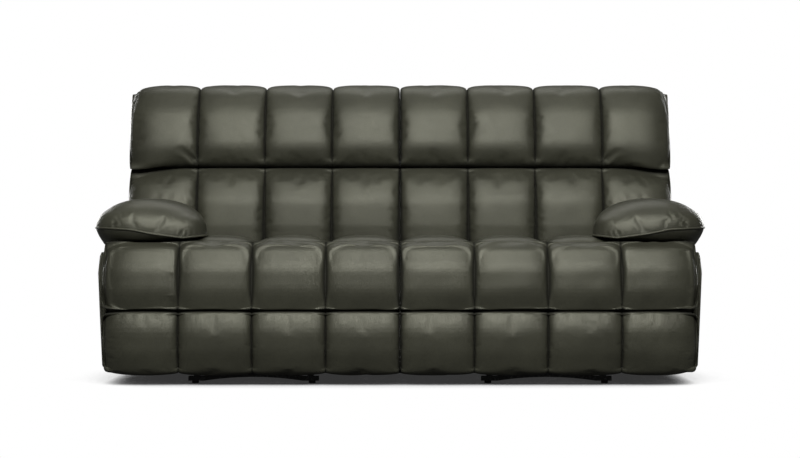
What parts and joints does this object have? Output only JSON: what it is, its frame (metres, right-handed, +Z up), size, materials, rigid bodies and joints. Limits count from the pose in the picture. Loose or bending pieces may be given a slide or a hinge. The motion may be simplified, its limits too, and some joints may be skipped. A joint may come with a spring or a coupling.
{
  "type": "reclining sofa",
  "caption": "Two-seat reclining sofa with channel-padded leather, padded arms, and a back and footrest on each side that open on a steel mechanism.",
  "frame": {"origin": "on the floor, under the centre of the sofa's closed outline", "axes": "+Z up, -Y the way a sitter faces, +X to the right as seen from the front"},
  "size_m": [2.089, 0.9143, 1.0792],
  "materials": {
    "seat_leather": "satin",
    "back_leather": "satin",
    "arm_leather": "satin",
    "panel_leather": "satin",
    "frame_steel": "satin",
    "mechanism_steel": "satin",
    "spring_steel": "satin",
    "plywood": "matte",
    "frame_wood": "matte",
    "glide_plastic": "matte",
    "roller_nylon": "satin",
    "cup_plastic": "matte",
    "handle_plastic": "satin",
    "cable_sheath": "matte"
  },
  "bodies": {
    "base": {"base_rear_bar": "frame_steel", "base_tie_bar": "frame_steel", "left_base_front_bar": "frame_steel", "left_base_tracks": "frame_steel", "left_base_glides": "glide_plastic", "right_base_front_bar": "frame_steel", "right_base_tracks": "frame_steel", "right_base_glides": "glide_plastic"},
    "left_carriage": {"left_mechanism_plates": "mechanism_steel", "left_seat_frame": "frame_wood", "left_seat_springs": "spring_steel", "left_seat_cushion": "seat_leather", "left_arm_frame": "plywood", "left_arm_side_panel": "panel_leather", "left_arm_pad": "arm_leather", "left_inner_side_panel": "panel_leather", "left_rear_panel": "panel_leather", "left_release_cup": "cup_plastic", "left_release_cable": "cable_sheath"},
    "left_front_rollers": {"left_front_rollers": "roller_nylon"},
    "left_rear_rollers": {"left_rear_rollers": "roller_nylon"},
    "left_drive_links": {"left_drive_links": "mechanism_steel"},
    "left_guide_links": {"left_guide_links": "mechanism_steel"},
    "left_carrier_links": {"left_carrier_links": "mechanism_steel"},
    "left_footrest": {"left_footrest_brackets": "mechanism_steel", "left_footrest_board": "plywood", "left_footrest_upper_pad": "seat_leather", "left_footrest_lower_pad": "seat_leather"},
    "left_back": {"left_back_brackets": "mechanism_steel", "left_back_frame": "frame_wood", "left_back_lower_cushion": "back_leather", "left_back_upper_cushion": "back_leather", "left_back_shell": "panel_leather"},
    "left_release_handle": {"left_release_handle": "handle_plastic"},
    "right_carriage": {"right_mechanism_plates": "mechanism_steel", "right_seat_frame": "frame_wood", "right_seat_springs": "spring_steel", "right_seat_cushion": "seat_leather", "right_arm_frame": "plywood", "right_arm_side_panel": "panel_leather", "right_arm_pad": "arm_leather", "right_inner_side_panel": "panel_leather", "right_rear_panel": "panel_leather", "right_release_cup": "cup_plastic", "right_release_cable": "cable_sheath"},
    "right_front_rollers": {"right_front_rollers": "roller_nylon"},
    "right_rear_rollers": {"right_rear_rollers": "roller_nylon"},
    "right_drive_links": {"right_drive_links": "mechanism_steel"},
    "right_guide_links": {"right_guide_links": "mechanism_steel"},
    "right_carrier_links": {"right_carrier_links": "mechanism_steel"},
    "right_footrest": {"right_footrest_brackets": "mechanism_steel", "right_footrest_board": "plywood", "right_footrest_upper_pad": "seat_leather", "right_footrest_lower_pad": "seat_leather"},
    "right_back": {"right_back_brackets": "mechanism_steel", "right_back_frame": "frame_wood", "right_back_lower_cushion": "back_leather", "right_back_upper_cushion": "back_leather", "right_back_shell": "panel_leather"},
    "right_release_handle": {"right_release_handle": "handle_plastic"}
  },
  "joints": [
    {"name": "left_carriage_slide", "type": "slide", "parent": "base", "child": "left_carriage", "axis": [0, -1, 0], "range_m": [0, 0.12]},
    {"name": "left_front_roller_spin", "type": "hinge", "parent": "left_carriage", "child": "left_front_rollers", "pos_m": [-0.506, -0.1972, 0.046], "axis": [1, 0, 0], "range_deg": [-1, 390.4]},
    {"name": "left_rear_roller_spin", "type": "hinge", "parent": "left_carriage", "child": "left_rear_rollers", "pos_m": [-0.506, 0.1828, 0.046], "axis": [1, 0, 0], "range_deg": [-1, 390.4]},
    {"name": "left_back_recline", "type": "hinge", "parent": "left_carriage", "child": "left_back", "pos_m": [-0.506, 0.2328, 0.3], "axis": [-1, 0, 0], "range_deg": [-0.5, 35.5]},
    {"name": "left_footrest_swing", "type": "hinge", "parent": "left_carriage", "child": "left_drive_links", "pos_m": [-0.506, -0.2572, 0.3], "axis": [-1, 0, 0], "range_deg": [0, 90]},
    {"name": "left_guide_link_pivot", "type": "hinge", "parent": "left_carriage", "child": "left_guide_links", "pos_m": [-0.506, -0.2972, 0.3128], "axis": [-1, 0, 0], "range_deg": [-0.5, 90.5]},
    {"name": "left_carrier_link_pivot", "type": "hinge", "parent": "left_drive_links", "child": "left_carrier_links", "pos_m": [-0.506, -0.1392, 0.0683], "axis": [-1, 0, 0], "range_deg": [-90.5, 0.5]},
    {"name": "left_footrest_pivot", "type": "hinge", "parent": "left_carrier_links", "child": "left_footrest", "pos_m": [-0.506, -0.3292, 0.23], "axis": [-1, 0, 0], "range_deg": [-0.5, 90.5]},
    {"name": "left_release_pull", "type": "hinge", "parent": "left_carriage", "child": "left_release_handle", "pos_m": [-1.035, -0.0772, 0.363], "axis": [0, 0, -1], "range_deg": [0, 30], "stiffness_Nm_per_rad": 0.5},
    {"name": "right_carriage_slide", "type": "slide", "parent": "base", "child": "right_carriage", "axis": [0, -1, 0], "range_m": [0, 0.12]},
    {"name": "right_front_roller_spin", "type": "hinge", "parent": "right_carriage", "child": "right_front_rollers", "pos_m": [0.506, -0.1972, 0.046], "axis": [1, 0, 0], "range_deg": [-1, 390.4]},
    {"name": "right_rear_roller_spin", "type": "hinge", "parent": "right_carriage", "child": "right_rear_rollers", "pos_m": [0.506, 0.1828, 0.046], "axis": [1, 0, 0], "range_deg": [-1, 390.4]},
    {"name": "right_back_recline", "type": "hinge", "parent": "right_carriage", "child": "right_back", "pos_m": [0.506, 0.2328, 0.3], "axis": [-1, 0, 0], "range_deg": [-0.5, 35.5]},
    {"name": "right_footrest_swing", "type": "hinge", "parent": "right_carriage", "child": "right_drive_links", "pos_m": [0.506, -0.2572, 0.3], "axis": [-1, 0, 0], "range_deg": [0, 90]},
    {"name": "right_guide_link_pivot", "type": "hinge", "parent": "right_carriage", "child": "right_guide_links", "pos_m": [0.506, -0.2972, 0.3128], "axis": [-1, 0, 0], "range_deg": [-0.5, 90.5]},
    {"name": "right_carrier_link_pivot", "type": "hinge", "parent": "right_drive_links", "child": "right_carrier_links", "pos_m": [0.506, -0.1392, 0.0683], "axis": [-1, 0, 0], "range_deg": [-90.5, 0.5]},
    {"name": "right_footrest_pivot", "type": "hinge", "parent": "right_carrier_links", "child": "right_footrest", "pos_m": [0.506, -0.3292, 0.23], "axis": [-1, 0, 0], "range_deg": [-0.5, 90.5]},
    {"name": "right_release_pull", "type": "hinge", "parent": "right_carriage", "child": "right_release_handle", "pos_m": [1.035, -0.0772, 0.363], "axis": [0, 0, 1], "range_deg": [0, 30], "stiffness_Nm_per_rad": 0.5}
  ],
  "couplings": [
    {"joint": "left_front_roller_spin", "follows": "left_carriage_slide", "rad_per_m": 56.497},
    {"joint": "left_rear_roller_spin", "follows": "left_carriage_slide", "rad_per_m": 56.497},
    {"joint": "left_back_recline", "follows": "left_carriage_slide", "rad_per_m": 5.0905},
    {"joint": "left_guide_link_pivot", "follows": "left_footrest_swing", "ratio": 1},
    {"joint": "left_carrier_link_pivot", "follows": "left_footrest_swing", "ratio": -1},
    {"joint": "left_footrest_pivot", "follows": "left_footrest_swing", "ratio": 1},
    {"joint": "right_front_roller_spin", "follows": "right_carriage_slide", "rad_per_m": 56.497},
    {"joint": "right_rear_roller_spin", "follows": "right_carriage_slide", "rad_per_m": 56.497},
    {"joint": "right_back_recline", "follows": "right_carriage_slide", "rad_per_m": 5.0905},
    {"joint": "right_guide_link_pivot", "follows": "right_footrest_swing", "ratio": 1},
    {"joint": "right_carrier_link_pivot", "follows": "right_footrest_swing", "ratio": -1},
    {"joint": "right_footrest_pivot", "follows": "right_footrest_swing", "ratio": 1}
  ]
}
